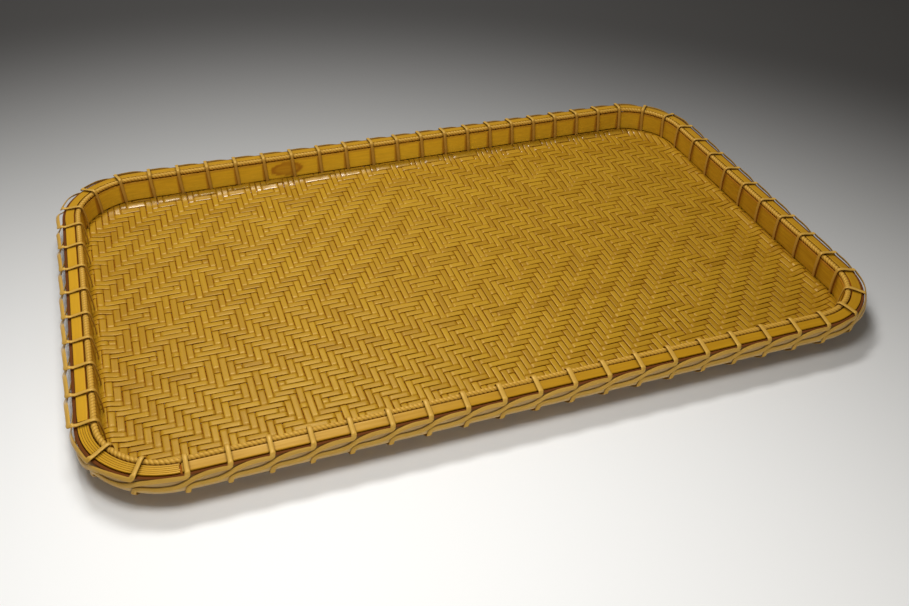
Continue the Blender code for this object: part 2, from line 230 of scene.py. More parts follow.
def rounded(corners, radius, steps=3, face_points=0):
    """Outline of a convex section with each corner turned into a short curve.

    A corner C between cuts A and B, each a radius away along its side, becomes the points
    (1-t)(1-t)A + 2t(1-t)C + ttB. Sides can carry points of their own between the curves.
    """
    corners = np.array(corners, float)
    before = np.roll(corners, 1, axis=0)
    after = np.roll(corners, -1, axis=0)
    cut_in = corners + unit(before - corners) * radius
    cut_out = corners + unit(after - corners) * radius
    outline = []
    t = np.linspace(0, 1, steps)[:, None]
    for corner, start, end, onward in zip(corners, cut_in, cut_out, np.roll(cut_in, -1, axis=0)):
        outline.append((1 - t) ** 2 * start + 2 * t * (1 - t) * corner + t ** 2 * end)
        share = np.arange(1, face_points + 1)[:, None] / (face_points + 1)
        outline.append(end + (onward - end) * share)
    return np.concatenate(outline)


def carried(profile, centres, across, up, closed=False, along=None, **paint):
    """A shape: the profile's (across, up) points at every station of a path.

    Point = centre + across * a + up * b. The profile runs counter-clockwise as seen when looking
    ahead. The profile may be one outline, or one for each station. Paint is a value per point.
    """
    profile = np.broadcast_to(profile, (len(centres),) + profile.shape[-2:])
    points = centres[:, None] + across[:, None] * profile[..., :1] + up[:, None] * profile[..., 1:]
    if along is None:
        along = distances(centres)
    around = distances(np.concatenate([profile[0], profile[0][:1]]))
    return {"points": points, "closed": closed, "along": along, "around": around, "paint": paint}


# What the materials read at each point: nearness to the strip's edge and depth under a neighbour,
# which darken it with staining and painted shade, the strip's own tone, brown marks that are partly
# painted shade, and natural wax
paint_names = ("edge", "deep", "tint", "mark", "wax")
sharp_angle = math.radians(50)


def build_piece(name, shapes, finish, slot, *nodes):
    """Join shapes into one mesh piece that stands for some nodes of the model.

    A shape's points form a grid of rows, each row a closed ring. Quads join neighbouring rows,
    and a polygon closes each end of a shape that isn't a loop. The UV map gives the metres along
    the shape and round its section.
    """
    co, corners, starts, uv = [], [], [], []
    paint = {key: [] for key in paint_names}
    base = 0
    corner_count = 0
    for shape in shapes:
        grid = shape["points"]
        rows, cols = grid.shape[:2]
        bands = rows if shape["closed"] else rows - 1
        r, c = (part.ravel() for part in np.meshgrid(np.arange(bands), np.arange(cols), indexing="ij"))
        r_next, c_next = (r + 1) % rows, (c + 1) % cols
        quads = np.stack([r * cols + c, r_next * cols + c,
                          r_next * cols + c_next, r * cols + c_next], axis=-1)
        along, around = shape["along"], shape["around"]
        quad_uv = np.stack([along[np.stack([r, r + 1, r + 1, r], axis=-1)],
                            around[np.stack([c, c, c + 1, c + 1], axis=-1)]], axis=-1)
        corners.append(quads.ravel() + base)
        starts.append(corner_count + 4 * np.arange(len(quads)))
        uv.append(quad_uv.reshape(-1, 2))
        corner_count += quads.size
        if not shape["closed"]:
            for ring, at in ((np.arange(cols), 0), (np.arange(cols)[::-1], rows - 1)):
                corners.append(ring + at * cols + base)
                starts.append(np.array([corner_count]))
                uv.append(np.stack([np.full(cols, along[at]), around[ring]], axis=-1))
                corner_count += cols
        for key in paint_names:
            value = np.asarray(shape["paint"].get(key, 0.0), float)
            paint[key].append(np.broadcast_to(value, (rows, cols)).ravel())
        co.append(grid.reshape(-1, 3))
        base += rows * cols
    co = np.concatenate(co)
    corners = np.concatenate(corners)
    starts = np.concatenate(starts)
    mesh = bpy.data.meshes.new(name)
    mesh.vertices.add(len(co))
    mesh.vertices.foreach_set("co", co.ravel())
    mesh.loops.add(len(corners))
    mesh.loops.foreach_set("vertex_index", corners)
    mesh.polygons.add(len(starts))
    mesh.polygons.foreach_set("loop_start", starts)
    mesh.update(calc_edges=True)
    layer = mesh.uv_layers.new(name="strip")
    layer.data.foreach_set("uv", np.concatenate(uv).ravel())
    for key in paint_names:
        values = np.concatenate(paint[key])
        if values.any():
            mesh.attributes.new(key, "FLOAT", "POINT").data.foreach_set("value", values)
    mesh.shade_smooth()
    mesh.set_sharp_from_angle(angle=sharp_angle)
    mesh.materials.append(finish)
    piece = bpy.data.objects.new(name, mesh)
    bpy.context.scene.collection.objects.link(piece)
    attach(piece, "root")
    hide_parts(*nodes)
    return piece


def linear(code):
    """A linear colour from an sRGB hex code."""
    parts = [int(code[at:at + 2], 16) / 255 for at in (1, 3, 5)]
    return tuple(p / 12.92 if p <= 0.04045 else ((p + 0.055) / 1.055) ** 2.4 for p in parts) + (1.0,)


def add_node(tree, kind, sockets=None, **settings):
    """Add a node with its settings, and give each named or numbered socket a value or a link."""
    node = tree.nodes.new(kind)
    for key, value in settings.items():
        setattr(node, key, value)
    for key, value in (sockets or {}).items():
        if isinstance(value, bpy.types.NodeSocket):
            tree.links.new(value, node.inputs[key])
        else:
            node.inputs[key].default_value = value
    return node


def empty_material(name):
    """A material with a Principled shader and nothing else but its output."""
    made = bpy.data.materials.new(name)
    made.use_nodes = True
    return made, made.node_tree, made.node_tree.nodes["Principled BSDF"]


# Width and length of bamboo's fibres, and of the broader streaks, which are the sheaths between them
fibre_size = (0.00022, 0.008)
sheath_size = (0.0011, 0.030)
seed_spread = 40.0


def grain(tree, size, seed):
    """Noise drawn out along the strip, as wide and as long as the size says, another for each seed."""
    width, length = size
    place = add_node(tree, "ShaderNodeUVMap", uv_map="strip").outputs[0]
    stretched = add_node(tree, "ShaderNodeMapping", {0: place, 3: (1 / length, 1 / width, 1.0)})
    shift = add_node(tree, "ShaderNodeMath", {0: seed, 1: seed_spread}, operation="MULTIPLY")
    sockets = {"Vector": stretched.outputs[0], "W": shift.outputs[0],
               "Scale": 1.0, "Detail": 3.0, "Roughness": 0.6}
    return add_node(tree, "ShaderNodeTexNoise", sockets, noise_dimensions="4D").outputs[0]


def split_bamboo(name, pale, deep, stain_shade_colour, roughness, stain_shade_strength, tint_strength):
    """Split bamboo or cane, oiled by handling: fine fibres along the strip, a satin skin.

    The colour runs from pale to deep with the fibres and from strip to strip. Brown staining
    gathers along the strip's edges and where it dips under its neighbours, with painted shade in the
    same places, and dulls the skin there; the marks darken it the same way.
    """
    made, tree, shader = empty_material(name)
    tint, edge, dip, mark = (add_node(tree, "ShaderNodeAttribute", attribute_name=key).outputs["Fac"]
                             for key in ("tint", "edge", "deep", "mark"))
    fine = grain(tree, fibre_size, tint)
    broad = grain(tree, sheath_size, tint)
    streak = add_node(tree, "ShaderNodeMath", {0: fine, 1: 0.45}, operation="MULTIPLY").outputs[0]
    for part, share in ((broad, 0.75), (tint, tint_strength)):
        streak = add_node(tree, "ShaderNodeMath", {0: part, 1: share, 2: streak},
                          operation="MULTIPLY_ADD").outputs[0]
    tone = add_node(tree, "ShaderNodeMapRange", {0: streak, 1: 0.40, 2: 0.85 + tint_strength}).outputs[0]
    base = add_node(tree, "ShaderNodeMix", {0: tone, 6: linear(pale), 7: linear(deep)}, data_type="RGBA")
    # Darker towards the edges and in the dips: staining and painted shade in the seams and under
    # neighbours
    rim = add_node(tree, "ShaderNodeMapRange", {0: edge, 1: 0.35, 2: 1.0, 3: 0.0, 4: 0.75}).outputs[0]
    low = add_node(tree, "ShaderNodeMapRange", {0: dip, 1: 0.12, 2: 0.80, 3: 0.0, 4: 0.85}).outputs[0]
    stain_and_shade = add_node(tree, "ShaderNodeMath", {0: rim, 1: low}, operation="MAXIMUM").outputs[0]
    stain_and_shade = add_node(tree, "ShaderNodeMath", {0: stain_and_shade, 1: mark}, operation="MAXIMUM").outputs[0]
    stain_and_shade = add_node(tree, "ShaderNodeMath", {0: stain_and_shade, 1: stain_shade_strength}, operation="MULTIPLY").outputs[0]
    colour = add_node(tree, "ShaderNodeMix", {0: stain_and_shade, 6: base.outputs[2], 7: linear(stain_shade_colour)},
                      data_type="RGBA")
    tree.links.new(colour.outputs[2], shader.inputs["Base Color"])
    dull = add_node(tree, "ShaderNodeMapRange", {0: stain_and_shade, 1: 0.0, 2: 0.8, 3: 0.5, 4: 0.0})
    tree.links.new(dull.outputs[0], shader.inputs["Specular IOR Level"])
    gloss = add_node(tree, "ShaderNodeMapRange",
                     {0: broad, 1: 0.3, 2: 0.7, 3: roughness - 0.05, 4: roughness + 0.08})
    tree.links.new(gloss.outputs[0], shader.inputs["Roughness"])
    bump = add_node(tree, "ShaderNodeBump", {"Height": fine, "Strength": 0.5, "Distance": 0.00003})
    tree.links.new(bump.outputs[0], shader.inputs["Normal"])
    shader.inputs["IOR"].default_value = 1.42
    shader.inputs["Specular Tint"].default_value = linear("#F2D08A")
    return made


def mat_bamboo():
    """Split and oiled bamboo of the woven floor, ochre with brown seams that are partly painted shade.

    Beside the far hoop the strips still have their natural wax, which shines white where they tilt
    towards a lamp. Elsewhere it is worn off.
    """
    made = split_bamboo("woven_split_bamboo", pale="#BA9022", deep="#936810", stain_shade_colour="#74320A",
                        roughness=0.34, stain_shade_strength=0.9, tint_strength=0.4)
    tree = made.node_tree
    shader = tree.nodes["Principled BSDF"]
    wax = add_node(tree, "ShaderNodeAttribute", attribute_name="wax").outputs["Fac"]
    tree.links.new(wax, shader.inputs["Coat Weight"])
    shader.inputs["Coat Roughness"].default_value = 0.22
    return made


def hoop_bamboo():
    """Bent bamboo with its skin on: smooth, amber, faint streaks."""
    return split_bamboo("bent_bamboo_skin", pale="#ECBC2E", deep="#93600A", stain_shade_colour="#8A4018",
                        roughness=0.36, stain_shade_strength=0.9, tint_strength=0.9)


def cap_bamboo():
    """Planed golden strips with fine straight grain."""
    return split_bamboo("planed_bamboo_cap", pale="#CC9A22", deep="#9A6C0C", stain_shade_colour="#4A2A08",
                        roughness=0.34, stain_shade_strength=0.8, tint_strength=0.6)


def band_bamboo():
    """Pale matt ply round the outside, browned along its top edge by grime and painted shade."""
    return split_bamboo("pale_bamboo_ply", pale="#D2B680", deep="#AE8A50", stain_shade_colour="#5C2A08",
                        roughness=0.65, stain_shade_strength=0.95, tint_strength=0.3)


def bead_cane():
    """Fine cane wound round the bead, straw yellow, with painted shade as dark lines between the turns.
    """
    return split_bamboo("wound_fine_cane", pale="#D2A444", deep="#AA7C26", stain_shade_colour="#55300C",
                        roughness=0.36, stain_shade_strength=0.9, tint_strength=0.3)


def lashing_cane():
    """Flat cane with its glossy skin outwards, straw yellow, its edges darkened with painted shade."""
    return split_bamboo("flat_cane_skin", pale="#D0A64C", deep="#A67A2C", stain_shade_colour="#5E3A0E",
                        roughness=0.32, stain_shade_strength=0.8, tint_strength=0.4)


def rib_bamboo():
    """Plain split ribs under the floor, dull and pale."""
    return split_bamboo("plain_split_rib", pale="#B9924A", deep="#95702C", stain_shade_colour="#5C3B12",
                        roughness=0.5, stain_shade_strength=0.7, tint_strength=0.3)


# The weave: every strip goes over three and under three, and the count turns back along both
# middle lines and round two chains of small squares, whose centres lie one square apart
small_square = 5
inner_chain = 10
outer_chain = 50
first_warp, last_warp = -59, 62
first_weft, last_weft = -32, 35
strip_gap = 0.00042
strip_thick = 0.00055
strip_rise = 0.00036
strip_arch = 0.00004
dip_half = 0.0011

# How uneven hand-split strips are: in height, roll, width, and how far and how often they wander
height_scatter = 0.00002
roll_scatter = 0.02
width_scatter = 0.015
strip_wander = 0.00010
wander_crossings = (6, 14)

# Painted shade: the mat is darker towards both ends, most at the right, where the light falls off
end_painted_shade = 0.4
right_painted_shade = 0.12

# The low wave just inside the hoop, and how far in from the far hoop the strips keep their wax
swell_run = 0.0115
swell_rise = 0.00140
swell_lean = 0.6
wax_reach = 0.0150
wax_fade = 0.0050

# Where the strips lie: the middle crossing, the pitches, and how the beaten rows drift, lean and bow
middle_warp_x = -0.0034
middle_weft_y = -0.0167
warp_pitch = 0.00368
weft_pitch = 0.00420
warp_ease = (-0.0024, 0.0042)
weft_ease = (0.0050, 0.0018)
warp_bow = 0.0021
weft_tilt = 0.0028
weft_bow = 0.0022
weft_close = -0.0043
warp_span = 50
weft_span = 25


def crossing(i, j):
    """Plan place where warp i, which runs from front to back, crosses weft j, which runs lengthwise."""
    a = np.asarray(i, float) / warp_span
    b = np.asarray(j, float) / weft_span
    x = middle_warp_x + warp_pitch * warp_span * a + warp_ease[0] * a ** 2 + warp_ease[1] * a ** 3
    x = x + warp_bow * b ** 2 * (1 + a)
    y = middle_weft_y + weft_pitch * weft_span * b + weft_ease[0] * b ** 2 + weft_ease[1] * b ** 3
    y = y + weft_tilt * a + weft_bow * a ** 2 + weft_close * b * a ** 2
    return np.stack(np.broadcast_arrays(x, y), axis=-1)


def warp_on_top(i, j):
    """True where warp i lies over weft j.

    The count is the steps from the middle, turned back at each chain of squares. Inside a square
    of a chain it is counted from that square's corner instead.
    """
    i, j = np.broadcast_arrays(np.abs(i), np.abs(j))
    steps = i + j
    count = np.where(steps < inner_chain, steps, 2 * inner_chain - steps)
    count = np.where(steps > outer_chain, 3 * inner_chain - steps, count)
    corner = j // small_square * small_square
    for chain, start in ((inner_chain, 0), (outer_chain, 2 * inner_chain - outer_chain)):
        inset = chain - corner - i
        count = np.where((inset >= 0) & (inset <= small_square), start + inset + j - corner, count)
    return (count + 2) % 6 >= 3


def fold(plan, height):
    """World points of the mat from unfolded plan places and heights above its middle surface.

    Inside the bend line the mat is flat. Past it the distance is first wound round a quarter
    circle and then runs straight up, square to the rim.
    """
    inside = np.array([half_length, half_width]) - hoop_radius
    beyond = np.maximum(np.abs(plan) - inside, 0.0)
    length = np.linalg.norm(beyond, axis=-1)
    out = np.sign(plan) * beyond / np.maximum(length, 1e-9)[..., None]
    u = length - hoop_radius
    over = np.maximum(u - bend_u, 0.0)
    angle = np.minimum(over / bend_middle_radius, math.pi / 2)
    rise = np.maximum(over - bend_run, 0.0)
    turned_u = bend_u + (bend_middle_radius - height) * np.sin(angle)
    turned_z = mat_middle_z + bend_middle_radius - (bend_middle_radius - height) * np.cos(angle) + rise
    shift = np.where(over > 0, turned_u - u, 0.0)
    return np.concatenate([plan + out * shift[..., None], turned_z[..., None]], axis=-1)


def beyond_bend(plan):
    """Distance outwards from the inner hoop's face of unfolded plan places."""
    inside = np.array([half_length, half_width]) - hoop_radius
    return np.linalg.norm(np.maximum(np.abs(plan) - inside, 0.0), axis=-1) - hoop_radius


def swell(u):
    """Height of the low wave that the mat makes just inside the hoop, where its edge was bent up.

    It is the square of a sine, whose phase runs faster near the hoop, so the wave leans towards it.
    """
    phase = np.clip(-u / swell_run, 0, 1) ** swell_lean
    return swell_rise * np.sin(math.pi * phase) ** 2


def strip_stations(on_top, first, pitch, plan_at):
    """Stations along one strip, in crossings, and its height at each.

    There is one at every crossing, four through each dip, where the height follows a smooth step,
    and a few more where the mat bends up. The strip ends at the mat's top edge.
    """
    side = np.where(on_top, 1.0, -1.0)
    number = first + np.arange(len(side))
    middle = np.concatenate([[False], (side[1:-1] == side[:-2]) & (side[1:-1] == side[2:]), [False]])
    heights = side * (strip_rise + strip_arch * middle)
    heights = heights + chance.normal(0, height_scatter, len(side))
    turns = np.nonzero(side[:-1] != side[1:])[0]
    reach = dip_half / pitch
    offsets = np.array([-1, -1 / 3, 1 / 3, 1])
    fall = np.array([1, 13 / 27, -13 / 27, -1])
    dip_places = (number[turns][:, None] + 0.5 + reach * offsets).ravel()
    dip_heights = (side[turns][:, None] * strip_rise * fall).ravel()
    t = np.concatenate([number, dip_places])
    h = np.concatenate([heights, dip_heights])
    order = np.argsort(t)
    t, h = t[order], h[order]
    # Where the strip enters and leaves the mat, and crosses each level
    fine = np.linspace(t[0], t[-1], 40 * len(side))
    u = beyond_bend(plan_at(fine))
    inside = np.nonzero(u < mat_reach)[0]
    if len(inside) < 2:
        return None, None
    low, high = fine[inside[0]], fine[inside[-1]]
    extra = [low, high]
    swell_levels = -swell_run * (np.arange(9) / 8) ** (1 / swell_lean)
    bend_levels = bend_u + bend_run * np.array([0.0, 0.3, 0.6, 1.0])
    for level in np.append(swell_levels, bend_levels):
        below = np.nonzero(u < level)[0]
        if len(below):
            extra += [fine[below[0]], fine[below[-1]]]
    keep = (t > low) & (t < high)
    stations = np.unique(np.round(np.concatenate([t[keep], extra]), 5))
    return stations, np.interp(stations, t, h)


def strip_profile(width):
    """Section of a split strip, one row a station: flat below, gently rounded on top."""
    half = width[:, None] / 2
    share = np.array([1.0, 1.0, 0.90, 0.50, -0.50, -0.90, -1.0, -1.0])
    level = np.array([-0.5, 0.28, 0.50, 0.54, 0.54, 0.50, 0.28, -0.5]) * strip_thick
    return np.stack([half * share, np.broadcast_to(level, (len(width), len(share)))], axis=-1)


# Round the strip's section: nearness to its edges, darkened with staining and painted shade, and which
# points are on top
strip_edge = np.array([0.3, 1.0, 0.4, 0.0, 0.0, 0.4, 1.0, 0.3])
strip_top = np.array([0.0, 1.0, 1.0, 1.0, 1.0, 1.0, 1.0, 0.0])


def woven_strip(number, lengthwise):
    """One strip of the mat, folded up at its ends, or None where it lies outside the mat.

    Its middle line follows the crossings of its number and wanders a little to each side. Its
    section is carried along that line at the heights of the weave, rolled a little, and folded.
    """
    if lengthwise:
        across_numbers = np.arange(first_warp, last_warp + 1)
        on_top = ~warp_on_top(across_numbers, number)
        own_pitch, crossed_pitch = weft_pitch, warp_pitch

        def plan_at(t, aside=0.0):
            return crossing(t, number + aside)
    else:
        across_numbers = np.arange(first_weft, last_weft + 1)
        on_top = warp_on_top(number, across_numbers)
        own_pitch, crossed_pitch = warp_pitch, weft_pitch

        def plan_at(t, aside=0.0):
            return crossing(number + aside, t)

    t, h = strip_stations(on_top, across_numbers[0], crossed_pitch, plan_at)
    if t is None:
        return None
    wander = np.sin(t / chance.uniform(*wander_crossings) + chance.uniform(0, 6.3))
    wander = strip_wander * wander / own_pitch
    plan = plan_at(t, wander)
    local_pitch = np.linalg.norm(plan_at(t, 0.5) - plan_at(t, -0.5), axis=-1)
    width = (local_pitch - strip_gap) * chance.normal(1.0, width_scatter)
    ahead = unit(np.gradient(plan, axis=0))
    across = np.stack([ahead[:, 1], -ahead[:, 0]], axis=-1)
    profile = strip_profile(width)
    knots = np.arange(across_numbers[0], across_numbers[-1] + 3, 3)
    roll = np.interp(t, knots, chance.normal(0, roll_scatter, len(knots)))[:, None]
    flat = plan[:, None] + across[:, None] * profile[..., :1]
    height = h[:, None] + profile[..., 1] + profile[..., 0] * roll + swell(beyond_bend(flat))
    points = fold(flat, height)
    wax = np.clip((flat[..., 1] - half_width + wax_reach) / wax_fade, 0, 1) * strip_top
    # Depth under a neighbour, darkened with staining and painted shade where the strip dips
    dip = np.clip(0.5 - h / strip_rise / 2, 0, 1)[:, None]
    share = plan[:, :1] / half_length
    # Darker towards the ends and the right: painted shade
    tint = chance.beta(1.6, 2.6) + end_painted_shade * share ** 2 + right_painted_shade * share
    return {
        "points": points,
        "closed": False,
        "along": distances(plan) + chance.uniform(0, 0.5),
        "around": distances(np.concatenate([profile[0], profile[0][:1]])),
        "paint": {"edge": strip_edge, "deep": dip * strip_top, "tint": tint, "wax": wax},
    }


def make_mat(finish):
    """All the woven strips, in four pieces."""
    halves = {
        "warp_strips_left": (False, range(first_warp, 1)),
        "warp_strips_right": (False, range(1, last_warp + 1)),
        "weft_strips_near": (True, range(first_weft, 1)),
        "weft_strips_far": (True, range(1, last_weft + 1)),
    }
    for name, (lengthwise, numbers) in halves.items():
        strips = [woven_strip(number, lengthwise) for number in numbers]
        build_piece(name, [strip for strip in strips if strip], finish, "mat", "woven_mat")


# Where more stations lie beside a wrap, and how strong and how wide the brown beside it is, both grime
# and painted shade
beside_wrap = np.array([-0.0022, -0.0016, -0.0010, 0.0010, 0.0016, 0.0022])
wrap_dust_and_shade = 0.7
wrap_dust_and_shade_reach = 0.0023
wrap_dust_and_shade_fade = 0.0010
# How far down the outer hoop and the band under the caps are browned, by old grime and by painted shade
dust_and_shade_depth = 0.0036


def with_wraps(stations):
    """The stations with more of them close beside every wrap that they pass."""
    near = (wraps[:, None] + beside_wrap).ravel()
    near = np.concatenate([near - rim_run, near, near + rim_run])
    near = near[(near > stations[0]) & (near < stations[-1])]
    return np.unique(np.round(np.concatenate([stations, near]), 6))


def dust_and_shade_beside(stations):
    """Brown of the corner between a wrap and what it lies on, both grime and painted shade, fading out a
    little way off.
    """
    away = np.abs((stations[:, None] - wraps[None, :] + rim_run / 2) % rim_run - rim_run / 2)
    return wrap_dust_and_shade * np.clip((wrap_dust_and_shade_reach - away.min(axis=1)) / wrap_dust_and_shade_fade, 0, 1)[:, None]


def dust_and_shade_below(z, top):
    """How brown a face is at each height, with grime and painted shade: fully at its top edge, less and
    less below.
    """
    return np.clip(1 - (top - z) / dust_and_shade_depth, 0, 1) ** 0.7


def ring_shape(profile, stations, closed, **paint):
    """A section of (u, z) points carried along the rim; paint is given per point or for all."""
    place, out, _ = rim_frame(stations)
    up = np.tile([0.0, 0.0, 1.0], (len(stations), 1))
    along = np.append(stations, rim_run) if closed else stations
    return carried(profile, place, out, up, closed, along, **paint)


def box_corners(low_u, high_u, low_z, high_z):
    """Corners of an upright section, counter-clockwise with outwards to the right."""
    return [(high_u, low_z), (high_u, high_z), (low_u, high_z), (low_u, low_z)]


# The scar where a branch was cut off: its place along the rim and up the hoop, its half sizes, how
# brown it is, and the ring in it, whose radius and width are shares of the half sizes
scar_place = (0.9185, 0.0068)
scar_size = (0.0115, 0.0050)
scar_brown = 0.45
scar_ring = 0.35
scar_ring_radius = 0.85
scar_ring_width = 0.16
# Painted shade on the hoop's top under the bead: how dark, and how far down it reaches
bead_shade = 0.6
bead_shade_depth = 0.0016
hoop_round = 0.0005
hoop_step = 0.0015
# Painted light and shade on the bent strip: darkest on the right side, palest on the far side, whose
# inner face is lit from the front
hoop_painted_light_tones = np.array([0.6, 0.9, 0.0, 0.6])


def make_inner_hoop(finish):
    """Thin hoop with a bamboo node's scar on the far side.

    The scar is an ellipse with a browner ring, whose strength falls off as exp(-d * d) with the
    distance d from the ring's line.
    """
    corners = box_corners(0.0, inner_hoop_thick, inner_hoop_low, inner_hoop_top)
    profile = rounded(corners, hoop_round, 4, 8)
    stations = with_wraps(rim_stations(0.0, rim_run, step=hoop_step)[:-1])
    # Tone by side of the rim: painted light and shade
    tone = np.interp(stations, side_middles, hoop_painted_light_tones, period=rim_run)[:, None]
    along = (stations[:, None] - scar_place[0]) / scar_size[0]
    rise = (profile[None, :, 1] - inner_hoop_low - scar_place[1]) / scar_size[1]
    off_middle = np.hypot(along, rise)
    ring = np.exp(-((off_middle - scar_ring_radius) / scar_ring_width) ** 2)
    scar = scar_brown * (off_middle < 1) + scar_ring * ring
    scar = scar * (profile[:, 0] < inner_hoop_thick / 2)
    # Painted shade under the bead; the mark also takes the scar, and grime and painted shade beside the
    # wraps
    under_bead = bead_shade * np.clip(1 - (inner_hoop_top - profile[:, 1]) / bead_shade_depth, 0, 1)
    mark = np.maximum(np.maximum(scar, under_bead), dust_and_shade_beside(stations))
    build_piece("inner_hoop_skin", [ring_shape(profile, stations, True, tint=tone, mark=mark)],
                finish, "hoop", "inner_hoop")


band_round = 0.0004
ring_step = 0.01


def make_outer_hoop(finish):
    """Thick hoop under the caps, its top sloping as they do."""
    out_top = outer_hoop_top - cap_fall / cap_width * outer_hoop_thick
    corners = [(outer_hoop_out_u, outer_hoop_low), (outer_hoop_out_u, out_top),
               (outer_hoop_u, outer_hoop_top), (outer_hoop_u, outer_hoop_low)]
    profile = rounded(corners, hoop_round, 4, 2)
    stations = rim_stations(0.0, rim_run, step=ring_step)[:-1]
    # Browner towards the top edge: grime and painted shade under the caps
    dust_and_shade = dust_and_shade_below(profile[:, 1], outer_hoop_top)
    shape = ring_shape(profile, stations, True, tint=0.7, mark=dust_and_shade)
    build_piece("outer_hoop_core", [shape], finish, "hoop", "outer_hoop")


def make_band(finish):
    """Pale ply outside the outer hoop."""
    profile = rounded(box_corners(band_u, band_out_u, band_low, band_top), band_round, 4, 3)
    stations = rim_stations(0.0, rim_run, step=ring_step)[:-1]
    # Browner towards the top edge: grime and painted shade under the caps
    shape = ring_shape(profile, stations, True, tint=0.4, mark=dust_and_shade_below(profile[:, 1], band_top))
    build_piece("outer_band_ply", [shape], finish, "band", "outer_band")


# The winding of the bead: the width of a rib, how many canes wind side by side, how fine the mesh
# is, how deep and sharp the grooves are, and how much wider than high the wound core is
bead_pitch = 0.00225
bead_starts = 2
bead_steps = 6
bead_sides = 16
bead_groove = 0.00042
groove_power = 0.8
bead_spread = 0.00025


def make_bead(finish):
    """Core wound with two fine canes: the radius falls into a groove between one turn and the next.

    The radius follows the sine of the phase, which is the way along in ribs plus twice the way
    round in turns, so the ribs lean. The section is spread towards the caps.
    """
    turns = round(rim_run / bead_pitch)
    stations = np.arange(turns * bead_steps) * rim_run / (turns * bead_steps)
    angle = 2 * math.pi * np.arange(bead_sides) / bead_sides
    ribs = np.arange(len(stations))[:, None] / bead_steps
    phase = ribs + bead_starts * angle[None, :] / (2 * math.pi)
    ridge = np.abs(np.sin(math.pi * phase)) ** groove_power
    radius = bead_radius - bead_groove * (1 - ridge)
    u = bead_u + bead_spread + (radius + bead_spread) * np.cos(angle)
    z = bead_z + radius * np.sin(angle)
    profile = np.stack([u, z], axis=-1)
    # Through the edge, painted shade in the grooves between the turns; through the mark, grime and
    # painted shade beside each wrap
    dust_and_shade = dust_and_shade_beside(stations)
    shape = ring_shape(profile, stations, True, edge=1 - ridge, tint=0.4, mark=dust_and_shade)
    build_piece("bead_winding", [shape], finish, "bead", "bead_cord")


# The caps: rounding, steps, the size of their end sections, and the tone of each strip. The
# corner's is split into splints, with gaps, uneven ends, heights and tones
cap_round = 0.0003
cap_step = 0.006
cap_end_size = 0.9
cap_tones = {"near": 0.85, "right": 0.5, "far": 0.5, "left": 0.0, "corner": 0.5}
corner_splints = 5
splint_gap = 0.00006
splint_start_scatter = 0.0003
splint_end_scatter = 0.0004
splint_drop = 0.00006
splint_tone_scatter = 0.3


def cap_section(inner, outer, lift=0.0):
    """Section of the cap between two shares of its width: sloping, with rounded edges."""
    low = [cap_low - cap_fall * share for share in (inner, outer)]
    high = [z + cap_thick + lift for z in low]
    u = [cap_u + cap_width * share for share in (inner, outer)]
    corners = [(u[1], low[1]), (u[1], high[1]), (u[0], high[0]), (u[0], low[0])]
    return rounded(corners, min(cap_round, (u[1] - u[0]) / 6), 4, 5)


def cap_strip(start, end, section, tint):
    """One strip along the rim, with the arris taken off both ends."""
    stations = with_wraps(rim_stations(start, end, step=cap_step))
    size = np.ones((len(stations), 1, 1))
    size[[0, -1]] = cap_end_size
    middle = section.mean(axis=0)
    profile = middle + (section - middle) * size
    # The mark is grime and painted shade beside each wrap
    return ring_shape(profile, stations, False, tint=tint, mark=dust_and_shade_beside(stations))


def splints(start, end, tone):
    """The corner's cap, split fine: strips side by side with slightly uneven ends and heights."""
    edges = np.linspace(0, 1, corner_splints + 1)
    gap = splint_gap / cap_width
    return [cap_strip(start + chance.uniform(0, splint_start_scatter),
                      end - chance.uniform(0, splint_end_scatter),
                      cap_section(inner + gap, outer - gap, -chance.uniform(0, splint_drop)),
                      tone + chance.uniform(-splint_tone_scatter, splint_tone_scatter))
            for inner, outer in zip(edges, edges[1:])]


def make_caps(finish):
    """Cap strips, each from just before one wrap to just before another."""
    names = list(cap_start_wraps)
    starts = [wrap_place(index) - cap_joint_lead for index in cap_start_wraps.values()]
    ends = starts[1:] + [starts[0] + rim_run]
    for name, start, end in zip(names, starts, ends):
        end -= cap_joint_gap
        if name == "corner":
            strips = splints(start, end, cap_tones[name])
        else:
            strips = [cap_strip(start, end, cap_section(0.0, 1.0), cap_tones[name])]
        build_piece(f"cap_strip_{name}", strips, finish, "cap", f"cap_{name}")


def stand_share(s):
    """How far the lashing stands off at s, as a share: even on a side, blended round a corner."""
    s = s % rim_run
    side = np.searchsorted(side_starts, s, side="right") - 1
    bend = max(0.0, s - side_starts[side] - side_runs[side]) / corner_run
    blend = math.sin(math.pi * bend)
    beside = side_stand_shares[side if bend < 0.5 else (side + 1) % 4]
    return beside * (1 - blend) + corner_stand_shares[side] * blend


def smooth_step(share):
    """Rise from 0 to 1 with a level start and end."""
    share = min(max(share, 0.0), 1.0)
    return share * share * (3 - 2 * share)


